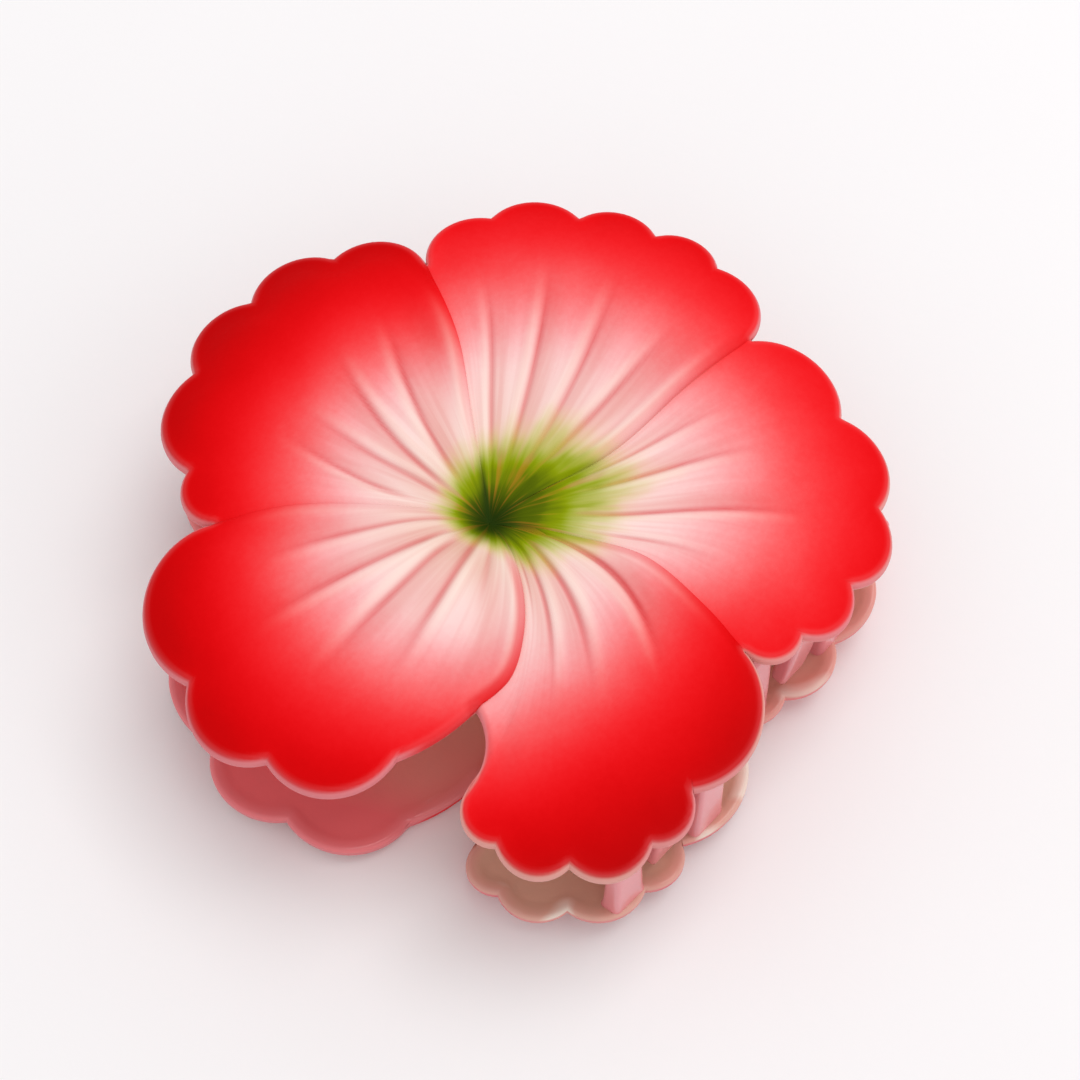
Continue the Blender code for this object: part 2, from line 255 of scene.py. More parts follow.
# For the edge where each petal starts and the one where it ends
EDGE_LIP = ((1.0, 0.0), (0.5, 1.0), (0.0, 0.5), (0.0, 0.0), (1.0, 0.0))
# and how strongly the painted shade of each rolled edge shows
EDGE_BAND = ((0.3, 0.0), (0.2, 1.0), (0.0, 0.6), (0.0, 0.0), (0.5, 0.0))
LIP = (1.0, 0.6)  # in from an edge that lies over its neighbour, and half width
LIP_HEIGHT = 0.22
VALLEY = (3.2, 1.8)
VALLEY_DEPTH = 0.26
LIP_FADE = (0.60, 0.86)  # shares of the way out
BAND = (0.5, 1.3)  # the painted shade, a darker and redder band along such an edge, fades between these gaps
BEAD = (0.65, 0.40)  # the rounded swelling along the rim: in from the rim, and half width
BEAD_HEIGHT = 0.10
BEAD_HOLLOW = (2.1, 0.9)
BEAD_HOLLOW_SHARE = 0.9
DISH = 0.25  # how far the inner face is hollowed inside its border
BORDER = (1.2, 2.0)  # the inner face's border ends between these gaps to the rim
RIM_ROUND = 0.7
INNER_ROUND = 0.7
EDGE_ROUND = 0.45
WALL_PAINT = (0.08, 0.42)  # the rim's wall colour ends between these gaps to the rim
# where the painted highlight along the rim lies: in from the rim, and half width
RIM_HIGHLIGHT_BAND = (0.5, 0.25)

VEIN_RELIEF = 0.6
VEIN_FULL_DEPTH = 0.34  # a vein with this depth has the full strength of its painted shade and highlight
VEIN_CUT = 0.30  # half width of the groove
VEIN_SLOPE = (0.5, 0.9)  # the gentle fall to the groove: how far beside it, and half width
VEIN_SLOPE_SHARE = 0.45
VEIN_CREST = (0.95, 0.55)  # the ridge on the other side, which gets a painted highlight
VEIN_CREST_SHARE = 0.4
VEIN_SWELL = (0.9, 1.2)
VEIN_PAINT = 0.36
VEIN_FADE_IN = (-0.06, 0.12)  # shares of the way out, from where the vein starts
VEIN_FADE_OUT = (-0.24, 0.03)  # the same, from where it ends

ROWS_IN = 58
FIRST_SHARE = 0.001
LAST_SHARE = 0.955  # where the even rows end
RIM_ROWS = (1.3, 1.05, 0.82, 0.62, 0.45, 0.30, 0.18, 0.09, 0.03, 0.0)  # in from the rim
PETAL_LENGTH = 36.0
SIDE_COLUMNS = (0.003, 0.007, 0.012, 0.018)
UNDERLAP = (0.7, 1.5, 2.4)  # how far a petal's extra columns go on under its neighbour
UNDERLAP_GROWTH = 0.35  # the share of the way out where they reach that far
UNDERLAP_TAPER = (0.72, 1.0)
UNDERLAP_LOSS = 0.93  # the share of that reach that is gone at the rim
LOBE_REACH = 5.0  # how fast the rim's lobes die away toward the centre
FAN = (1.4, 2.4, 2.4, 1.4, 1.4)  # how late each petal spreads beyond the chord of its rim
GROWN = (0.04, 0.42)  # shares of the way out where the overlaps and the crown grow to full height
SIDE_SAMPLES = 60


def envelope(across, deviation):
    """The smooth part of a rim's deviation from its chord, without the lobes."""
    basis = (across * (1 - across))[:, None] * across[:, None] ** np.arange(2)
    weights = np.linalg.lstsq(basis, deviation, rcond=None)[0]
    return basis @ weights


def row_shares():
    inner = np.linspace(FIRST_SHARE, LAST_SHARE, ROWS_IN)
    return np.concatenate([inner, 1.0 - np.array(RIM_ROWS) / PETAL_LENGTH])


def base_height(radius):
    funnel = THROAT_DEPTH * np.clip(1 - radius / CREST_INNER_RADIUS, 0, None) ** 2
    fall = np.clip((radius - CREST_OUTER_RADIUS) / (RIM_RADIUS - CREST_OUTER_RADIUS), 0, None)
    return CREST_HEIGHT - VISUAL_SINK - funnel - RIM_DROP * fall**2


def underlap(side, line, shares):
    """Columns that carry a petal on under the neighbour at one side, the farthest last."""
    tangent = np.gradient(line, axis=0)
    tangent /= np.linalg.norm(tangent, axis=1)[:, None]
    away = np.stack([tangent[:, 1], -tangent[:, 0]], axis=1) * (1 if side == 0 else -1)
    taper = 1.0 - UNDERLAP_LOSS * smooth(shares, *UNDERLAP_TAPER)
    reach = smooth(shares, 0.0, UNDERLAP_GROWTH) * taper
    return np.stack([line + away * (step * reach)[:, None] for step in UNDERLAP], axis=1)


def petal_plan(index):
    """Plan of one petal: x, y, share out and share across for a grid of rows by columns."""
    shares = row_shares()
    rim = petal_rim(index)
    even = np.linspace(0.0, 1.0, len(rim))
    across = np.unique(np.concatenate([even, SIDE_COLUMNS, 1 - np.array(SIDE_COLUMNS)]))
    rim = np.stack([np.interp(across, even, rim[:, axis]) for axis in (0, 1)], axis=1)
    first, last = petal_edge(index, shares), petal_edge(index + 1, shares)
    chords = np.outer(1 - across, rim[0]) + np.outer(across, rim[-1])
    smooth_part = envelope(across, rim - chords)
    lobes = rim - chords - smooth_part
    grid = (
        first[:, None, :] * (1 - across)[None, :, None]
        + last[:, None, :] * across[None, :, None]
        + shares[:, None, None] ** FAN[index] * smooth_part[None, :, :]
        + shares[:, None, None] ** LOBE_REACH * lobes[None, :, :]
    )
    u = np.broadcast_to(across, grid.shape[:2]).copy()
    for side, line in ((0, first), (1, last)):
        if OVER[index][side]:
            continue
        extra = underlap(side, line, shares)
        if side == 0:
            grid = np.concatenate([extra[:, ::-1], grid], axis=1)
            u = np.concatenate([np.zeros(extra.shape[:2]), u], axis=1)
        else:
            grid = np.concatenate([grid, extra], axis=1)
            u = np.concatenate([u, np.ones(extra.shape[:2])], axis=1)
    s = np.broadcast_to(shares[:, None], u.shape).copy()
    return grid, s, u


def green_reach(grid):
    """How far the green goes from the centre, in the direction of each point."""
    turn = np.arctan2(grid[..., 0], grid[..., 1]) / (2 * math.pi) * len(GREEN_REACH)
    low = np.floor(turn).astype(int)
    part = smooth(turn - low, 0.0, 1.0)
    reach = np.array(GREEN_REACH)
    return reach[low % len(reach)] * (1 - part) + reach[(low + 1) % len(reach)] * part


def paint_reach(index, u):
    """The distance from the centre at which a petal's spray is at its deepest red, which is partly painted
    shade.
    """
    start, middle, end = PAINT_REACH[index]
    return start * (1 - u) * (1 - 2 * u) + 4 * middle * u * (1 - u) + end * u * (2 * u - 1)


def vein_relief(index, s, u, width):
    """Height in mm that the veins add, and masks of their grooves, ridges and the swells between, for
    painted shade and highlights.
    """
    height, groove, ridge, swell = (np.zeros_like(s) for _ in range(4))
    for inner, outer, start, end, depth, side in VEINS[index]:
        share = np.clip((s - start) / (end - start), 0, 1)
        lateral = (u - inner - (outer - inner) * share) * width
        begun = smooth(s, start + VEIN_FADE_IN[0], start + VEIN_FADE_IN[1])
        strength = begun * (1 - smooth(s, end + VEIN_FADE_OUT[0], end + VEIN_FADE_OUT[1]))
        slope = bell(lateral + VEIN_SLOPE[0] * side, VEIN_SLOPE[1])
        crest = bell(lateral - VEIN_CREST[0] * side, VEIN_CREST[1])
        relief = VEIN_CREST_SHARE * crest - VEIN_SLOPE_SHARE * slope - bell(lateral, VEIN_CUT)
        height += VEIN_RELIEF * strength * depth * relief
        paint = strength * depth / VEIN_FULL_DEPTH
        groove = np.maximum(groove, paint * bell(lateral, VEIN_PAINT))
        swell = np.maximum(swell, paint * bell(lateral + VEIN_SWELL[0] * side, VEIN_SWELL[1]))
        ridge = np.maximum(ridge, paint * crest)
    return height, groove, np.clip(ridge, 0, 1), np.clip(swell, 0, 1)


def edge_relief(index, s, grown, to_side):
    """Height in mm that the edges over a neighbour add, and masks of their lips, valleys and bands, for
    painted highlights and shade.
    """
    height, lip, valley, band = (np.zeros_like(s) for _ in range(4))
    for side, over, gap in zip((0, 1), OVER[index], to_side):
        if not over:
            continue
        here = grown * EDGE_LIP[index][side] * (1 - smooth(s, *LIP_FADE))
        lip = np.maximum(lip, here * bell(gap - LIP[0], LIP[1]))
        valley = np.maximum(valley, here * bell(gap - VALLEY[0], VALLEY[1]))
        band = np.maximum(band, grown * EDGE_BAND[index][side] * (1 - smooth(gap, *BAND)))
        height -= grown * EDGE_ROLL * np.exp(-gap / EDGE_ROLL_WIDTH)
        height -= rounding(gap, EDGE_ROUND, smooth(s, 0.1, 0.3))
    height += LIP_HEIGHT * lip - VALLEY_DEPTH * valley
    return height, lip, valley, band


def rim_relief(s, to_rim):
    """Height in mm that the rim's swelling, fall and rounded edge add."""
    hollow = BEAD_HOLLOW_SHARE * bell(to_rim - BEAD_HOLLOW[0], BEAD_HOLLOW[1])
    bead = BEAD_HEIGHT * (bell(to_rim - BEAD[0], BEAD[1]) - hollow) * smooth(s, 0.6, 0.85)
    return bead - RIM_ROLL * np.exp(-to_rim / RIM_ROLL_WIDTH) - rounding(to_rim, RIM_ROUND)


def crease_shade_mask(index, radius, to_side):
    seam = np.zeros_like(radius)
    for side, gap in enumerate(to_side):
        strength = CREASE_SHADE_STRENGTHS[(index + side) % len(PETALS)] * (1 - smooth(radius, *CREASE_SHADE_FADE))
        seam = np.maximum(seam, strength * bell(gap, CREASE_SHADE_WIDTH))
    return seam


def petal_surface(index):
    """One petal's plan, the heights of its outer and inner faces, and its point fields."""
    grid, s, u = petal_plan(index)
    flat = grid.reshape(-1, 2)
    radius = np.linalg.norm(flat, axis=1).reshape(s.shape)
    to_rim = distance_to(flat, petal_rim(index)).reshape(s.shape)
    fine = np.linspace(0.0, 1.0, SIDE_SAMPLES)
    sides = [petal_edge(index, fine), petal_edge(index + 1, fine)]
    to_side = [distance_to(flat, side).reshape(s.shape) for side in sides]
    width = np.linalg.norm(np.diff(grid, axis=1), axis=2).sum(axis=1)[:, None] * np.ones_like(s)

    grown = smooth(s, *GROWN)
    levels = [0.5 * STEP if over else -0.5 * STEP for over in OVER[index]]
    level = levels[0] + (levels[1] - levels[0]) * smooth(u, 0.1, 0.9)
    level = level * grown * (1 - STEP_FADE * smooth(s, 0.8, 1.0))
    crown = CROWN * (1 - (2 * u - 1) ** 2) * grown * (1 - 0.5 * smooth(s, 0.75, 1.0))
    shell = base_height(radius) + level - TIP_FALL * smooth(radius, TIP_START, RIM_RADIUS)
    veins, groove, ridge, swell = vein_relief(index, s, u, width)
    edges, lip, valley, edge_band = edge_relief(index, s, grown, to_side)
    pit = CENTRE_PIT * bell(radius, CENTRE_PIT_WIDTH)
    height = shell + crown + veins + edges + rim_relief(s, to_rim) - pit
    inside = shell + INNER_CROWN * crown - WALL + rounding(to_rim, INNER_ROUND)
    inside += DISH * smooth(to_rim, *BORDER) * smooth(s, 0.3, 0.6)
    height = np.maximum(height, inside + LEAST_WALL)
    # Many of these masks place painted shade and painted highlights: vein grooves, ridges and swells, the
    # lips, valleys and bands of edges over a neighbour, the rim, and the throat's creases
    fields = {
        "vein": groove,
        "ridge": ridge,
        "swell": swell,
        "lip": lip,
        "valley": valley,
        "edge": edge_band,
        "wall": (1 - smooth(to_rim, *WALL_PAINT)) * (1 - WRAPPED[index] * smooth(u, 0.80, 0.88)),
        # the painted highlight along the rim
        "band": bell(to_rim - RIM_HIGHLIGHT_BAND[0], RIM_HIGHLIGHT_BAND[1]),
        "to_rim": to_rim,
        "bare": np.full_like(s, BARE[index]),
        "red": np.clip(radius / paint_reach(index, u), 0.0, RED_END),
        "green": radius / green_reach(grid),
        "seam": crease_shade_mask(index, radius, to_side),
        "radius": radius,
        "across": u,
        "petal": np.full_like(s, index),
    }
    return grid, height, inside, fields


def petal_solid(index):
    """Points, faces and point fields of one petal as a closed shell, in mm from the flower's centre."""
    grid, height, inside, fields = petal_surface(index)
    rows, columns = height.shape
    top = np.concatenate([grid, height[:, :, None]], axis=2).reshape(-1, 3)
    under = np.concatenate([grid, inside[:, :, None]], axis=2).reshape(-1, 3)
    points = np.concatenate([top, under])
    count = rows * columns
    ids = np.arange(count).reshape(rows, columns)
    a, b, c, d = ids[:-1, :-1], ids[1:, :-1], ids[1:, 1:], ids[:-1, 1:]
    upper = np.stack([a, b, c, d], axis=-1).reshape(-1, 4)
    lower = upper[:, ::-1] + count
    loop = np.concatenate([ids[0, :-1], ids[:-1, -1], ids[-1, :0:-1], ids[:0:-1, 0]])
    after = np.roll(loop, -1)
    walls = np.stack([loop, after, after + count, loop + count], axis=-1)
    faces = np.concatenate([upper, lower, walls])
    data = {}
    for name, values in fields.items():
        flat = values.reshape(-1)
        data[name] = np.concatenate([flat, flat])
    under_rim = np.ones((rows, columns))
    under_rim[-1] = 0.0
    data["inner"] = np.concatenate([np.zeros(count), under_rim.reshape(-1)])
    return points, faces, data


# ---- mesh making ----------------------------------------------------------------------------------

FIELDS = (
    "vein", "ridge", "swell", "lip", "valley", "edge", "wall", "band", "to_rim", "bare",
    "red", "green", "seam", "radius", "across", "petal", "inner", "fitting",
)
SHARP_ANGLE = 42


class Build:
    """Collects closed solids, in mm, with a value of every field at each point."""

    def __init__(self):
        self.points = []
        self.faces = []
        self.fields = {name: [] for name in FIELDS}
        self.count = 0

    def add(self, points, faces, fields):
        self.points.append(np.asarray(points, float))
        self.faces += [tuple(int(v) + self.count for v in face) for face in faces]
        for name in FIELDS:
            values = fields.get(name, 0.0)
            self.fields[name].append(np.broadcast_to(values, len(points)).astype(float))
        self.count += len(points)

    def finish(self, name, flip=False):
        points = np.concatenate(self.points)
        faces = self.faces
        if flip:
            points = points * (1, 1, -1)
            faces = [tuple(reversed(face)) for face in faces]
        return mesh_piece(name, points, faces, {k: np.concatenate(v) for k, v in self.fields.items()})


def mesh_piece(name, points, faces, fields=None, sharp=SHARP_ANGLE):
    mesh = bpy.data.meshes.new(name)
    world = np.asarray(points, float) * MM + np.array(CENTRE)
    mesh.from_pydata([tuple(p) for p in world], [], [tuple(int(i) for i in f) for f in faces])
    for key, values in (fields or {}).items():
        attribute = mesh.attributes.new(key, "FLOAT", "POINT")
        attribute.data.foreach_set("value", np.asarray(values, np.float32))
    mesh.validate()
    mesh.shade_smooth()
    mesh.set_sharp_from_angle(angle=math.radians(sharp))
    piece = bpy.data.objects.new(name, mesh)
    bpy.context.scene.collection.objects.link(piece)
    return piece


def loft(sections, closed_ends=True):
    """Points and faces of a solid through rings with equal numbers of points."""
    count = len(sections[0])
    points = np.concatenate(sections)
    faces = []
    for number in range(len(sections) - 1):
        low = number * count
        for i in range(count):
            j = (i + 1) % count
            faces.append((low + i, low + j, low + count + j, low + count + i))
    if closed_ends:
        faces.append(tuple(reversed(range(count))))
        top = (len(sections) - 1) * count
        faces.append(tuple(range(top, top + count)))
    return points, faces


# ---- teeth, lugs and guides -----------------------------------------------------------------------

TOOTH_PITCH = 6.0
FRONT_TEETH_X = (-10.0, 2.0, 14.0, 26.0)
REAR_TEETH_X = tuple(x - TOOTH_PITCH for x in FRONT_TEETH_X)
TOOTH_INSET = 1.3  # from the jaw petals' rim to the middle of a tooth's root
TOOTH_ROOT = (4.4, 2.3)  # width and depth
TOOTH_TIP = (3.6, 1.9)
TOOTH_LEAN = 0.6
TOOTH_CORNER = 0.3  # of the depth
JAW_RIM_LIMIT_Y = -24.0
TOOTH_BURIED = 0.5
TOOTH_TIP_GAP = 0.3  # to the other half's inner face
TOOTH_TIP_AREA = (2.0, 1.0)  # half sizes of the area over which that face is looked up
TOOTH_SECTIONS = 22
TOOTH_FLARE = 0.6  # how much wider the root is
FLARE_SHARE = 0.07  # the share of the length over which most of that goes
TIP_ROUND_START = 0.93
TIP_LEAST = 0.04
ROUND_STEPS = 6

LUG_THICKNESS = 1.8
LUG_END_RADIUS = 3.0
LUG_ROOT_HALF_WIDTH = 4.4
LUG_BEVEL = 0.25
LUG_SINK = 1.0  # how far below the smooth shell's top a lug ends, inside the wall
FRONT_LUG_X = 5.6
REAR_LUG_X = 8.0
BORE_RADIUS = 1.15
LUG_STEPS = 40

GUIDE_HALF_GAP = 1.0
GUIDE_THICKNESS = 0.8
GUIDE_START = 10.5
GUIDE_END = 14.5
GUIDE_DEPTH = 1.5
GUIDE_SINK = 1.2  # how far a guide goes on into the wall
GUIDE_LIFT = 0.4
GUIDE_SECTIONS = 7
GUIDE_CORNER = 0.25
GUIDE_LEAST = 0.15

# How far out the overspray on each fitting looks, as a share of the spray's reach
TOOTH_RED = 0.9
LUG_RED = 0.1
GUIDE_RED = 0.2

# Every petal's plan and the heights of its inner face
UNDERSIDES = [(grid, inside) for grid, _, inside, _ in map(petal_surface, range(len(PETALS)))]


def jaw_rim(x):
    """How far in the jaw petals' rim comes over a tooth's width."""
    rim = np.concatenate([petal_rim(2), petal_rim(3)])
    low = rim[rim[:, 1] < JAW_RIM_LIMIT_Y]
    low = low[np.argsort(low[:, 0])]
    places = (x - 0.5 * TOOTH_ROOT[0], x, x + 0.5 * TOOTH_ROOT[0])
    return float(np.interp(places, low[:, 0], low[:, 1]).max())


def lowest_underside(x, y):
    """The lowest height of the visible shell's inner face over a tooth's tip."""
    wide, deep = TOOTH_TIP_AREA
    return min(underside(x + dx, y + dy) for dx in (-wide, 0.0, wide) for dy in (-deep, 0.0, deep))


def underside(x, y):
    """Height of the visible shell's inner face over a point."""
    best, found = 1e9, 0.0
    for grid, inside in UNDERSIDES:
        gap = np.hypot(grid[..., 0] - x, grid[..., 1] - y)
        place = np.unravel_index(np.argmin(gap), gap.shape)
        if gap[place] < best:
            best, found = gap[place], inside[place]
    return float(found)


def rounded_rectangle(width, depth, corner):
    points = []
    for sx, sy, start in ((1, 1, 0), (-1, 1, 90), (-1, -1, 180), (1, -1, 270)):
        for step in range(ROUND_STEPS + 1):
            angle = math.radians(start + 90 * step / ROUND_STEPS)
            x = sx * (0.5 * width - corner) + corner * math.cos(angle)
            y = sy * (0.5 * depth - corner) + corner * math.sin(angle)
            points.append((x, y))
    return np.array(points)


def tooth(x):
    root_y = jaw_rim(x) + TOOTH_INSET
    root_z = underside(x, root_y) + TOOTH_BURIED
    tip_z = TOOTH_TIP_GAP - lowest_underside(x, root_y + TOOTH_LEAN)
    sections = []
    for share in np.arange(TOOTH_SECTIONS) / (TOOTH_SECTIONS - 1):
        flare = TOOTH_FLARE * math.exp(-share / FLARE_SHARE)
        into_tip = max(0.0, (share - TIP_ROUND_START) / (1.0 - TIP_ROUND_START))
        tip = math.sqrt(max(1.0 - into_tip**2, TIP_LEAST))
        width = (TOOTH_TIP[0] * share + TOOTH_ROOT[0] * (1 - share) + flare) * tip
        depth = (TOOTH_TIP[1] * share + TOOTH_ROOT[1] * (1 - share) + 0.5 * flare) * tip
        ring = rounded_rectangle(width, depth, TOOTH_CORNER * depth)
        z = root_z + (tip_z - root_z) * share
        centre = (x, root_y + TOOTH_LEAN * share**2)
        sections.append(np.column_stack([ring + centre, np.full(len(ring), z)])[::-1])
    return loft(sections)


def lug_outline(angle):
    """A point of a lug's outer edge: a round end that widens to a straight root in the shell."""
    top = CREST_HEIGHT - VISUAL_SINK - LUG_SINK
    cos, sin = math.cos(angle), math.sin(angle)
    if sin <= 0:
        return LUG_END_RADIUS * cos, LUG_END_RADIUS * sin
    slope = (LUG_ROOT_HALF_WIDTH - LUG_END_RADIUS) / top
    past_side = abs(cos) - slope * sin
    reach = top / sin
    if past_side > 0:
        reach = min(reach, LUG_END_RADIUS / past_side)
    return reach * cos, reach * sin


def lug(x):
    """A plate with a real bore, its outline and bore bridged ring to ring."""
    angles = 2 * math.pi * np.arange(LUG_STEPS) / LUG_STEPS
    outer = np.array([lug_outline(angle) for angle in angles])
    inner = BORE_RADIUS * np.column_stack([np.cos(angles), np.sin(angles)])
    half = 0.5 * LUG_THICKNESS
    small = 1 - LUG_BEVEL / LUG_END_RADIUS
    rings = (
        (inner, -half),
        (outer * small, -half),
        (outer, -half + LUG_BEVEL),
        (outer, half - LUG_BEVEL),
        (outer * small, half),
        (inner, half),
    )
    sections = [
        np.column_stack([np.full(len(ring), x + side), ring[:, 0] + HINGE_Y, ring[:, 1]])
        for ring, side in rings
    ]
    points, faces = loft(sections + sections[:1], closed_ends=False)
    count = len(inner)
    total = len(rings) * count
    faces = [tuple(i % total for i in face) for face in faces]
    return points[:total], faces


def guide(x):
    """A rib beside the spring's leg, with rounded ends."""
    inside = CREST_HEIGHT - VISUAL_SINK - WALL
    top = inside + GUIDE_SINK
    sections = []
    for share in np.linspace(0.0, 1.0, GUIDE_SECTIONS):
        y = HINGE_Y + GUIDE_START + (GUIDE_END - GUIDE_START) * share
        low = inside + GUIDE_LIFT - GUIDE_DEPTH * math.sqrt(max(GUIDE_LEAST, 1 - (2 * share - 1) ** 6))
        ring = rounded_rectangle(GUIDE_THICKNESS, top - low, GUIDE_CORNER)
        height = ring[:, 1] + 0.5 * (top + low)
        sections.append(np.column_stack([ring[:, 0] + x, np.full(len(ring), y), height])[::-1])
    return loft(sections)


# ---- the spring and the pin -----------------------------------------------------------------------

WIRE_RADIUS = 0.6
COIL_RADIUS = 2.7
COIL_PITCH = 1.4
COIL_WHOLE_TURNS = 4
LEG_REACH = 15.0
LEG_GAP = 0.3
WIRE_SIDES = 14
COIL_STEPS = 56  # in one turn
LEG_STEPS = 12
CAP_ANGLES = (25, 50, 72, 88)
CAP_DOME = 0.5  # of the wire's radius
CAP_LEAST = 0.12
WIRE_SHARP_ANGLE = 60
PIN_RADIUS = 1.0
PIN_HALF_LENGTH = 9.3
PIN_HEAD_RADIUS = 1.9
PIN_HEAD_LENGTH = 1.0
PIN_HEAD_CHAMFER = 0.1
PIN_HEAD_DOME = 0.45  # the share of the head's radius that its dome takes
PIN_DOME_STEPS = 6
PIN_PEEN_RADIUS = 1.5
PIN_PEEN_LENGTH = 0.7
PEEN_ANGLES = (80, 60, 40, 20, 0)
PEEN_LEAST = 0.3
PIN_SIDES = 48
PIN_SHARP_ANGLE = 35


def leg_height():
    return CREST_HEIGHT - WALL - LEG_GAP - WIRE_RADIUS


def leg_angle():
    y, z = LEG_REACH, leg_height()
    return math.atan2(z, y) - math.asin(COIL_RADIUS / math.hypot(y, z)) + 0.5 * math.pi


def coil_half_width():
    wrap = 2 * (math.pi - leg_angle())
    return 0.5 * COIL_PITCH * (COIL_WHOLE_TURNS + wrap / (2 * math.pi))


def spring_route():
    half = coil_half_width()
    turned = 2 * math.pi * COIL_WHOLE_TURNS + 2 * (math.pi - leg_angle())
    steps = round(COIL_STEPS * turned / (2 * math.pi))
    share = np.linspace(0, 1, steps + 1)
    angle = -leg_angle() - turned * share
    coil = np.column_stack(
        [half * (2 * share - 1), HINGE_Y + COIL_RADIUS * np.cos(angle), COIL_RADIUS * np.sin(angle)]
    )
    start = np.array((-half, HINGE_Y + LEG_REACH, -leg_height()))
    end = np.array((half, HINGE_Y + LEG_REACH, leg_height()))
    along = np.linspace(0, 1, LEG_STEPS + 1)[:, None]
    first = start + (coil[0] - start) * along[:-1]
    last = coil[-1] + (end - coil[-1]) * along[1:]
    return np.concatenate([first, coil, last])


def tube(route, radius, sides):
    """A round wire along the route, with domed ends."""
    tangents = np.gradient(route, axis=0)
    tangents /= np.linalg.norm(tangents, axis=1)[:, None]
    normal = np.cross(tangents[0], (1.0, 0.0, 0.0))
    normal /= np.linalg.norm(normal)
    angles = 2 * math.pi * np.arange(sides) / sides
    sections = []
    for point, tangent in zip(route, tangents):
        normal = normal - tangent * (normal @ tangent)
        normal /= np.linalg.norm(normal)
        other = np.cross(tangent, normal)
        ring = np.outer(np.cos(angles), normal) + np.outer(np.sin(angles), other)
        sections.append(point + radius * ring)
    for end, way in ((0, -1), (-1, 1)):
        point, tangent, ring = route[end], tangents[end] * way, sections[end] - route[end]
        caps = [
            point + tangent * radius * CAP_DOME * math.sin(a) + ring * max(math.cos(a), CAP_LEAST)
            for a in np.radians(CAP_ANGLES)
        ]
        sections = sections + caps if way == 1 else caps[::-1] + sections
    return loft(sections)


def turned(profile, sides):
    """A solid of revolution about X through the hinge, from (x, radius) pairs."""
    angles = 2 * math.pi * np.arange(sides) / sides
    sections = [
        np.column_stack([np.full(sides, x), HINGE_Y + r * np.cos(angles), r * np.sin(angles)])
        for x, r in profile
    ]
    return loft(sections)


# ---- materials ------------------------------------------------------------------------------------


class Nodes:
    """Short calls for a material's node tree."""

    def __init__(self, name):
        self.material = bpy.data.materials.new(name)
        self.material.use_nodes = True
        self.tree = self.material.node_tree
        self.shader = self.tree.nodes["Principled BSDF"]

    def node(self, kind, **settings):
        made = self.tree.nodes.new(kind)
        for key, value in settings.items():
            setattr(made, key, value)
        return made

    def link(self, source, target):
        if isinstance(source, bpy.types.NodeSocket):
            self.tree.links.new(source, target)
        else:
            target.default_value = source

    def field(self, name):
        return self.node("ShaderNodeAttribute", attribute_name=name).outputs["Fac"]

    def shown(self, name):
        """A field as a mask, as strong as SHOWN says."""
        return self.math("MULTIPLY", self.field(name), SHOWN[name], clamp=True)

    def math(self, operation, a, b=0.0, clamp=False):
        made = self.node("ShaderNodeMath", operation=operation, use_clamp=clamp)
        self.link(a, made.inputs[0])
        self.link(b, made.inputs[1])
        return made.outputs[0]

    def scaled(self, noise, amount):
        """A noise of 0 to 1 made into one of plus or minus half the amount."""
        return self.math("MULTIPLY", self.math("SUBTRACT", noise, 0.5), amount)

    def ramp(self, factor, stops, interpolation="LINEAR"):
        made = self.node("ShaderNodeValToRGB")
        elements = made.color_ramp.elements
        made.color_ramp.interpolation = interpolation
        while len(elements) < len(stops):
            elements.new(0.5)
        for element, (place, colour) in zip(elements, stops):
            element.position = place
            value = colour if isinstance(colour, tuple) else (colour, colour, colour)
            element.color = (*value, 1.0)
        self.link(factor, made.inputs["Fac"])
        return made.outputs["Color"]

    def mix(self, factor, a, b, blend="MIX"):
        made = self.node("ShaderNodeMix", data_type="RGBA", blend_type=blend)
        self.link(factor, made.inputs["Factor"])
        for value, socket in ((a, made.inputs[6]), (b, made.inputs[7])):
            self.link((*value, 1.0) if isinstance(value, tuple) else value, socket)
        return made.outputs[2]

    def coordinates(self, scale=1.0):
        place = self.node("ShaderNodeTexCoord").outputs["Object"]
        made = self.node("ShaderNodeVectorMath", operation="SCALE")
        self.link(place, made.inputs[0])
        made.inputs["Scale"].default_value = scale
        return made.outputs[0]

    def noise(self, scale, detail=3.0, rough=0.5):
        made = self.node("ShaderNodeTexNoise")
        self.link(self.coordinates(), made.inputs["Vector"])
        made.inputs["Scale"].default_value = scale
        made.inputs["Detail"].default_value = detail
        made.inputs["Roughness"].default_value = rough
        return made.outputs["Fac"]

    def bump(self, height, strength, distance):
        made = self.node("ShaderNodeBump")
        self.link(height, made.inputs["Height"])
        made.inputs["Strength"].default_value = strength
        made.inputs["Distance"].default_value = distance
        self.link(made.outputs["Normal"], self.shader.inputs["Normal"])


# Linear colours of the spray, by the share of its reach from the centre; the darkening of the deep red at
# the tips is partly painted shade
RED_STOPS = (
    (0.00, (0.77, 0.63, 0.44)),
    (0.14, (0.81, 0.64, 0.53)),
    (0.26, (0.90, 0.70, 0.65)),
    (0.38, (0.90, 0.64, 0.62)),
    (0.48, (0.89, 0.38, 0.39)),
    (0.58, (0.88, 0.145, 0.15)),
    (0.68, (0.86, 0.034, 0.040)),
    (0.78, (0.82, 0.006, 0.010)),
    (0.88, (0.70, 0.0005, 0.002)),
    (1.00, (0.54, 0.0003, 0.001)),
    (1.14, (0.42, 0.0003, 0.001)),
)
# The same for the green, which fades out between the shares of GREEN_FADE
GREEN_STOPS = (
    (0.00, (0.035, 0.060, 0.001)),
    (0.32, (0.095, 0.135, 0.001)),
    (0.58, (0.260, 0.330, 0.001)),
    (0.85, (0.440, 0.480, 0.015)),
    (1.15, (0.680, 0.620, 0.160)),
)
GREEN_FADE = (0.51, 1.23)
GREEN_END = 1.5
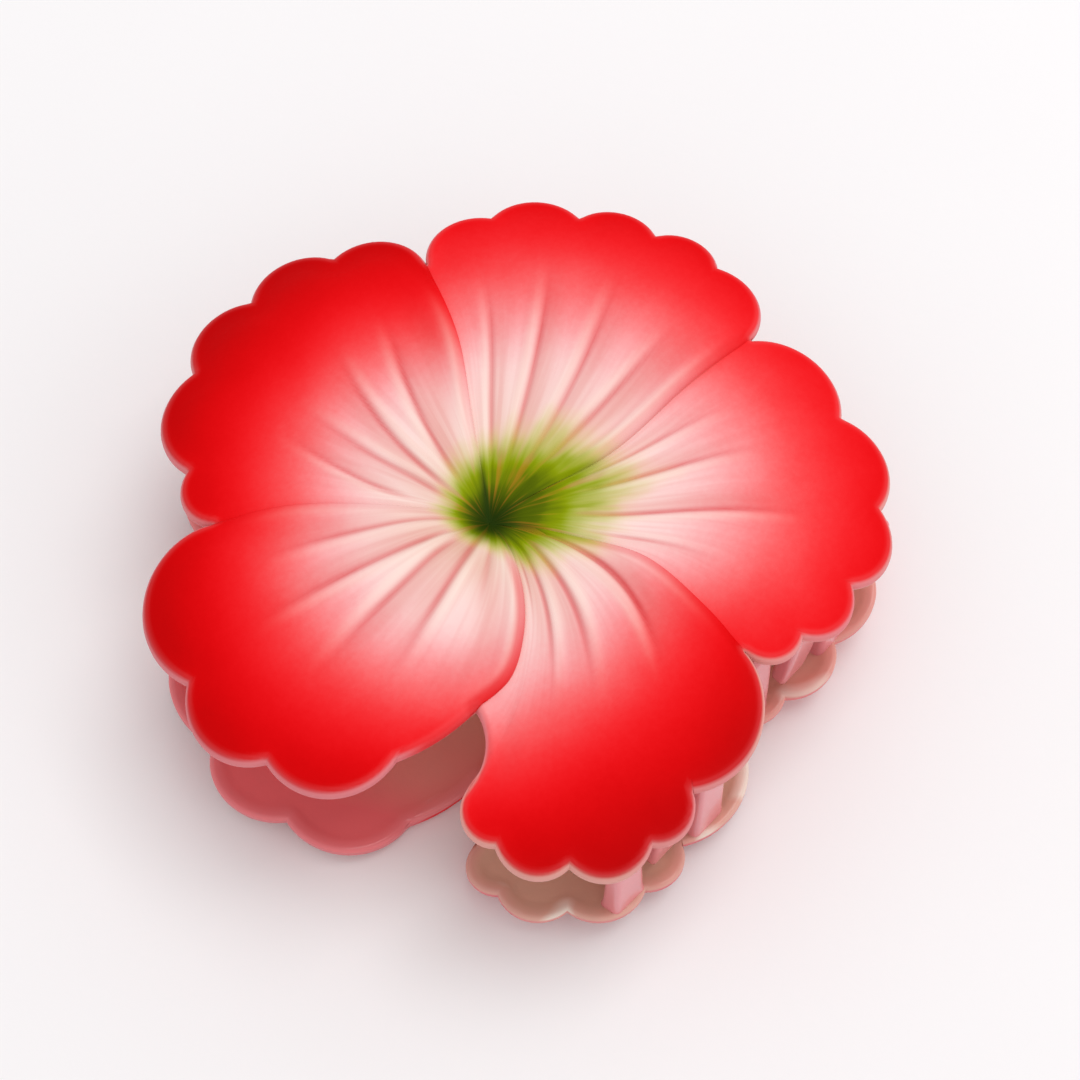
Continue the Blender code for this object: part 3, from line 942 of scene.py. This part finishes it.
# Tints that the paint is multiplied by: painted shade, except for the dusty rays
SHADE_TINT = (0.88, 0.64, 0.61)  # in the hollows beside veins and lips
DUST_TINT = (0.93, 0.76, 0.76)  # in faint rays over the pale part
# painted shade in the vein grooves
GROOVE_SHADE = (0.84, 0.38, 0.40)
ROLLED_EDGE_SHADE = (0.86, 0.26, 0.28)  # painted shade on edges that roll down over a neighbour
# Colours laid over it: painted highlights, real specks and orange rays, and painted shade in the throat
# painted highlight on the ridges beside the veins and on the lips of edges over a neighbour
RIDGE_HIGHLIGHT = (0.92, 0.74, 0.64)
# painted highlight along the rim
RIM_HIGHLIGHT = (0.86, 0.12, 0.13)
SPECK = (0.10, 0.03, 0.02)
ORANGE_RAY = (0.42, 0.16, 0.015)
# painted shade in the throat's pit and along the creases where the petals meet
PIT_SHADE = (0.012, 0.030, 0.002)
CREASE_SHADE_COLOUR = (0.020, 0.045, 0.004)
# Colours of the rims and the inner faces
DUSTY_PINK = (0.76, 0.26, 0.28)
CREAM = (0.80, 0.66, 0.50)
BARE_PLASTIC = (0.66, 0.42, 0.30)
OVERSPRAY = (0.80, 0.15, 0.16)
# cream patches of painted highlight along the border of bare inner faces
GLOSS_HIGHLIGHT_CREAM = (0.86, 0.80, 0.70)
# How strongly each field of the mesh shows
SHOWN = {
    "swell": 0.65,
    "valley": 0.7,
    "vein": 0.9,
    "edge": 0.8,
    # the painted highlight along the rim
    "band": 0.22,
    "wall": 0.85,
    "seam": 0.85,
    "fitting": 0.8,
}
RIDGE_HIGHLIGHT_STRENGTH = 0.416
ORANGE_STRENGTH = 0.55
SPECK_STRENGTH = 0.6
WORN_STRENGTH = 0.45
BORDER_STRENGTH = 0.35
GLOSS_HIGHLIGHT_STRENGTH = 0.75
# Noise scales per m, and how far each noise moves the spray's colours
BLUR_SCALE, BLUR_SHIFT = 170.0, 0.05
CLOUD_SCALE, CLOUD_SHIFT = 60.0, 0.06
FLECK_SCALE, FLECK_SHIFT = 1500.0, 0.035
SPECK_SCALE = 130.0
GLOSS_PATCH_SCALE = 110.0
GREEN_BLUR = 0.5
GREEN_RAYS = 0.34
# Cells of the drawn-out noises, across a petal and per mm along it
DUST_RAYS = (26.0, 0.05)
ORANGE_RAYS = (9.0, 0.12)
PAINT_ROUGHNESS = 0.44
ROUGHNESS_SPREAD = 0.12
INNER_POLISH = 0.26  # how much smoother the inner faces are
PAINT_SPECULAR = 0.03
INNER_COAT = 0.55
COAT_ROUGHNESS = 0.16


def petal_paint(name):
    n = Nodes(name)
    red = n.field("red")
    blur = n.noise(BLUR_SCALE, 2.0)
    cloud = n.noise(CLOUD_SCALE, 2.0)
    fleck = n.noise(FLECK_SCALE, 2.0, 0.7)
    colour = sprayed_red(n, red, ((blur, BLUR_SHIFT), (cloud, CLOUD_SHIFT), (fleck, FLECK_SHIFT)))
    colour = relief_colour(n, colour, red)
    colour = green_centre(n, colour, blur)
    # painted highlight along the rim
    colour = n.mix(n.shown("band"), colour, RIM_HIGHLIGHT)
    colour = n.mix(n.shown("wall"), colour, rim_colour(n, cloud))
    colour = n.mix(speck_mask(n), colour, SPECK)
    inner = n.field("inner")
    colour = n.mix(inner, colour, inner_colour(n, red, cloud))
    n.link(colour, n.shader.inputs["Base Color"])
    rough = n.math("ADD", PAINT_ROUGHNESS, n.math("MULTIPLY", fleck, ROUGHNESS_SPREAD))
    rough = n.math("SUBTRACT", rough, n.math("MULTIPLY", inner, INNER_POLISH))
    n.link(rough, n.shader.inputs["Roughness"])
    n.shader.inputs["Specular IOR Level"].default_value = PAINT_SPECULAR
    n.link(n.math("MULTIPLY", inner, INNER_COAT), n.shader.inputs["Coat Weight"])
    n.shader.inputs["Coat Roughness"].default_value = COAT_ROUGHNESS
    n.bump(fleck, 0.30, 0.00006)
    return n.material


def sprayed_red(n, red, noises):
    """The spray from a pale centre to a deep red rim, made uneven by noises; the darkest red at the rim is
    partly painted shade.
    """
    for noise, amount in noises:
        red = n.math("ADD", red, n.scaled(noise, amount))
    stops = [(place / RED_END, value) for place, value in RED_STOPS]
    return n.ramp(n.math("DIVIDE", red, RED_END), stops, "B_SPLINE")


def relief_colour(n, colour, red):
    """Painted shade in hollows, grooves and on rolled edges, painted highlights on ridges and lips, and
    faint dusty rays.
    """
    # painted shade in the swells beside the veins and in the valleys inside edges over a neighbour
    shaded = n.mix(1.0, colour, SHADE_TINT, "MULTIPLY")
    for name in ("swell", "valley"):
        colour = n.mix(n.shown(name), colour, shaded)
    streak = n.ramp(rays(n, *DUST_RAYS), ((0.40, 0.0), (0.62, 1.0)))
    pale_zone = n.ramp(red, ((0.30, 0.55), (0.75, 0.0)))
    colour = n.mix(n.math("MULTIPLY", streak, pale_zone), colour, DUST_TINT, "MULTIPLY")
    # painted shade in the vein grooves
    colour = n.mix(n.shown("vein"), colour, GROOVE_SHADE, "MULTIPLY")
    # painted highlight on the vein ridges and edge lips, fading where the red deepens
    ridge = n.math("MAXIMUM", n.field("ridge"), n.field("lip"))
    early = n.ramp(red, ((0.35, 1.0), (0.80, 0.12)))
    strength = n.math("MULTIPLY", n.math("MULTIPLY", ridge, early), RIDGE_HIGHLIGHT_STRENGTH)
    colour = n.mix(strength, colour, RIDGE_HIGHLIGHT)
    # painted shade on edges that roll down over a neighbour
    return n.mix(n.shown("edge"), colour, ROLLED_EDGE_SHADE, "MULTIPLY")


def rays(n, across, along):
    """Noise drawn out from the flower's centre, with so many cells across a petal and per mm along it."""
    noise = n.node("ShaderNodeTexNoise", noise_dimensions="2D")
    place = n.node("ShaderNodeCombineXYZ")
    turn = n.math("ADD", n.field("across"), n.field("petal"))
    n.link(n.math("MULTIPLY", turn, across), place.inputs[0])
    n.link(n.math("MULTIPLY", n.field("radius"), along), place.inputs[1])
    n.link(place.outputs[0], noise.inputs["Vector"])
    noise.inputs["Scale"].default_value = 1.0
    noise.inputs["Detail"].default_value = 2.0
    return noise.outputs["Fac"]


def green_centre(n, colour, blur):
    """Green sprayed into the throat, with orange rays, and painted shade in the pit and along the creases
    where petals meet.
    """
    ray = rays(n, *ORANGE_RAYS)
    green = n.math("ADD", n.field("green"), n.scaled(blur, GREEN_BLUR))
    green = n.math("ADD", green, n.scaled(ray, GREEN_RAYS))
    green = n.math("DIVIDE", green, GREEN_END)
    tint = n.ramp(green, [(place / GREEN_END, value) for place, value in GREEN_STOPS])
    start, end = GREEN_FADE
    cover = n.ramp(green, ((start / GREEN_END, 1.0), (end / GREEN_END, 0.0)), "EASE")
    near = n.math("MULTIPLY", n.ramp(ray, ((0.55, 0.0), (0.68, 1.0))), cover)
    tint = n.mix(n.math("MULTIPLY", near, ORANGE_STRENGTH), tint, ORANGE_RAY)
    # painted shade at the bottom of the throat's pit and along the creases where the petals meet
    core = n.ramp(n.math("MULTIPLY", n.field("radius"), 0.2), ((0.10, 0.85), (0.75, 0.0)), "EASE")
    tint = n.mix(core, tint, PIT_SHADE)
    tint = n.mix(n.shown("seam"), tint, CREASE_SHADE_COLOUR)
    return n.mix(cover, colour, tint)


def speck_mask(n):
    """Small dark specks in a few of the cells of a Voronoi pattern."""
    cells = n.node("ShaderNodeTexVoronoi", feature="F1")
    n.link(n.coordinates(), cells.inputs["Vector"])
    cells.inputs["Scale"].default_value = SPECK_SCALE
    near = n.ramp(cells.outputs["Distance"], ((0.0, 1.0), (0.035, 0.0)))
    split = n.node("ShaderNodeSeparateColor")
    n.link(cells.outputs["Color"], split.inputs[0])
    rare = n.math("GREATER_THAN", split.outputs[0], 0.93)
    return n.math("MULTIPLY", n.math("MULTIPLY", near, rare), SPECK_STRENGTH)


def rim_colour(n, cloud):
    """Dusty overspray on the rim's wall, worn through to cream where the inner face is bare."""
    worn = n.math("MULTIPLY", n.ramp(cloud, ((0.40, 0.0), (0.58, 1.0))), n.field("bare"))
    return n.mix(n.math("MULTIPLY", worn, WORN_STRENGTH), DUSTY_PINK, CREAM)


def inner_colour(n, red, cloud):
    """Bare plastic with red overspray that thins out from the rim, with cream patches of painted highlight
    along the border.
    """
    spray = n.math("ADD", red, n.scaled(cloud, 0.5))
    cover = n.ramp(spray, ((0.30, 0.25), (0.80, 1.0)))
    cover = n.math("MULTIPLY", cover, n.math("SUBTRACT", 1.0, n.field("bare")), clamp=True)
    base = n.mix(cover, BARE_PLASTIC, OVERSPRAY)
    border = n.ramp(n.math("MULTIPLY", n.field("to_rim"), 0.2), ((0.10, 1.0), (0.32, 0.0)))
    base = n.mix(n.math("MULTIPLY", border, BORDER_STRENGTH), base, rim_colour(n, cloud))
    # painted highlights: cream patches along the border where the inner face is bare
    gloss_patch = n.ramp(n.noise(GLOSS_PATCH_SCALE, 1.0), ((0.54, 0.0), (0.58, 1.0)))
    gloss_patch = n.math("MULTIPLY", n.math("MULTIPLY", border, gloss_patch), n.field("bare"))
    base = n.mix(n.math("MULTIPLY", gloss_patch, GLOSS_HIGHLIGHT_STRENGTH), base, GLOSS_HIGHLIGHT_CREAM)
    return n.mix(n.shown("fitting"), base, DUSTY_PINK)


WIRE_STEEL = (0.42, 0.42, 0.44)
WIRE_ROUGHNESS = 0.28
PIN_STEEL = (0.62, 0.62, 0.64)
PIN_ROUGHNESS = 0.22
GRAIN_SCALE = 900.0
GRAIN_DARKEST = 0.85
GRAIN_ROUGHNESS = 0.15
FLOOR_COLOURS = ((0.86, 0.845, 0.85), (0.89, 0.88, 0.885))


def steel(name, colour, roughness):
    n = Nodes(name)
    n.shader.inputs["Metallic"].default_value = 1.0
    grain = n.noise(GRAIN_SCALE, 4.0, 0.6)
    dark = tuple(GRAIN_DARKEST * part for part in colour)
    n.link(n.mix(grain, dark, colour), n.shader.inputs["Base Color"])
    rough = n.math("ADD", roughness, n.math("MULTIPLY", grain, GRAIN_ROUGHNESS))
    n.link(rough, n.shader.inputs["Roughness"])
    n.bump(grain, 0.2, 0.00003)
    return n.material


def floor_material():
    n = Nodes("studio_floor")
    n.link(n.mix(n.noise(14.0, 2.0), *FLOOR_COLOURS), n.shader.inputs["Base Color"])
    n.shader.inputs["Roughness"].default_value = 0.7
    n.shader.inputs["Specular IOR Level"].default_value = 0.2
    n.bump(n.noise(500.0, 3.0), 0.1, 0.0002)
    return n.material


# ---- pieces ---------------------------------------------------------------------------------------


def flower_half(node, teeth, lug_x, leg_side, flip):
    """One jaw. A flipped one is mirrored in the mid-plane between the halves."""
    build = Build()
    for index in range(len(PETALS)):
        build.add(*petal_solid(index))
    guide_x = GUIDE_HALF_GAP + 0.5 * GUIDE_THICKNESS
    leg_x = leg_side * coil_half_width()
    fittings = [(tooth, x, TOOTH_RED) for x in teeth]
    fittings += [(lug, x, LUG_RED) for x in (-lug_x, lug_x)]
    fittings += [(guide, leg_x + x, GUIDE_RED) for x in (-guide_x, guide_x)]
    for make, x, red in fittings:
        build.add(*make(x), {"inner": 1.0, "fitting": 1.0, "red": red})
    piece = build.finish(node + "_visual", flip)
    body = node.split("_")[0]
    piece.data.materials.append(petal_paint(body + "_petal_paint"))
    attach(piece, body)
    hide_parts(node)


def make_spring():
    points, faces = tube(spring_route(), WIRE_RADIUS, WIRE_SIDES)
    spring = mesh_piece("torsion_spring_visual", points, faces, sharp=WIRE_SHARP_ANGLE)
    spring.data.materials.append(steel("spring_wire_steel", WIRE_STEEL, WIRE_ROUGHNESS))
    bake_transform(spring)
    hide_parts("torsion_spring")


def make_pin():
    end = PIN_HALF_LENGTH
    head = [(end, PIN_HEAD_RADIUS - PIN_HEAD_CHAMFER), (end + PIN_HEAD_CHAMFER, PIN_HEAD_RADIUS)]
    for angle in np.linspace(0.0, 0.5 * math.pi, PIN_DOME_STEPS + 1):
        x = end + 0.5 * PIN_HEAD_LENGTH * (1 + math.sin(angle))
        head.append((x, PIN_HEAD_RADIUS * (1 - PIN_HEAD_DOME * (1 - math.cos(angle)))))
    peen = [
        (-end - PIN_PEEN_LENGTH * math.sin(a), PIN_PEEN_RADIUS * max(math.cos(a), PEEN_LEAST))
        for a in np.radians(PEEN_ANGLES)
    ]
    profile = [*peen, (-end, PIN_RADIUS), (end, PIN_RADIUS), *head]
    points, faces = turned(profile[::-1], PIN_SIDES)
    pin = mesh_piece("hinge_pin_visual", points, faces, sharp=PIN_SHARP_ANGLE)
    pin.data.materials.append(steel("pin_bright_steel", PIN_STEEL, PIN_ROUGHNESS))
    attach(pin, "rear")
    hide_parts("hinge_pin")


# ---- stage ----------------------------------------------------------------------------------------

FLOOR_HALF_WIDTH = 1.6  # in m, as the lights are
# Each light: its place to the right of the object as the camera sees it, beyond it and above it,
# its power in W and its size
LIGHTS = (
    ("key", (0.24, 0.16, 0.88), 2.85, 0.5),
    ("fill", (0.8, -0.4, 0.6), 1.1, 0.8),
)
WORLD_COLOUR = (1.0, 0.985, 0.99, 1.0)
WORLD_STRENGTH = 0.78


def make_camera():
    data = bpy.data.cameras.new("photo_camera")
    data.lens = LENS
    data.sensor_width = SENSOR
    data.clip_start = CLIP_START
    camera = bpy.data.objects.new("photo_camera", data)
    bpy.context.scene.collection.objects.link(camera)
    target = CENTRE + MM * Vector((*VIEW_TARGET, 0.0))
    over = Vector((math.sin(VIEW_TURN), math.cos(VIEW_TURN), 0.0))
    look = over * math.cos(VIEW_ELEVATION) - Vector((0, 0, 1)) * math.sin(VIEW_ELEVATION)
    camera.location = target - VIEW_DISTANCE * look
    camera.rotation_euler = look.to_track_quat("-Z", "Y").to_euler()
    bpy.context.scene.camera = camera
    return over


def area_light(name, place, power, size):
    data = bpy.data.lights.new(name, "AREA")
    data.energy = power
    data.size = size
    light = bpy.data.objects.new(name, data)
    bpy.context.scene.collection.objects.link(light)
    light.location = place
    light.rotation_euler = (-Vector(place)).to_track_quat("-Z", "Y").to_euler()


def make_stage(over):
    mesh = bpy.data.meshes.new("studio_floor")
    edge = FLOOR_HALF_WIDTH
    corners = [(-edge, -edge, 0), (edge, -edge, 0), (edge, edge, 0), (-edge, edge, 0)]
    mesh.from_pydata(corners, [], [(0, 1, 2, 3)])
    floor = bpy.data.objects.new("studio_floor", mesh)
    bpy.context.scene.collection.objects.link(floor)
    mesh.materials.append(floor_material())
    side, up = Vector((over.y, -over.x, 0.0)), Vector((0, 0, 1))
    for name, (right, beyond, above), power, size in LIGHTS:
        area_light(name, right * side + beyond * over + above * up, power, size)
    world = bpy.data.worlds.new("studio")
    world.use_nodes = True
    world.node_tree.nodes["Background"].inputs["Color"].default_value = WORLD_COLOUR
    world.node_tree.nodes["Background"].inputs["Strength"].default_value = WORLD_STRENGTH
    bpy.context.scene.world = world
    bpy.context.scene.view_settings.view_transform = "Standard"


over = make_camera()
make_stage(over)
flower_half("front_half", FRONT_TEETH_X, FRONT_LUG_X, leg_side=1, flip=False)
flower_half("rear_half", REAR_TEETH_X, REAR_LUG_X, leg_side=-1, flip=True)
make_pin()
make_spring()
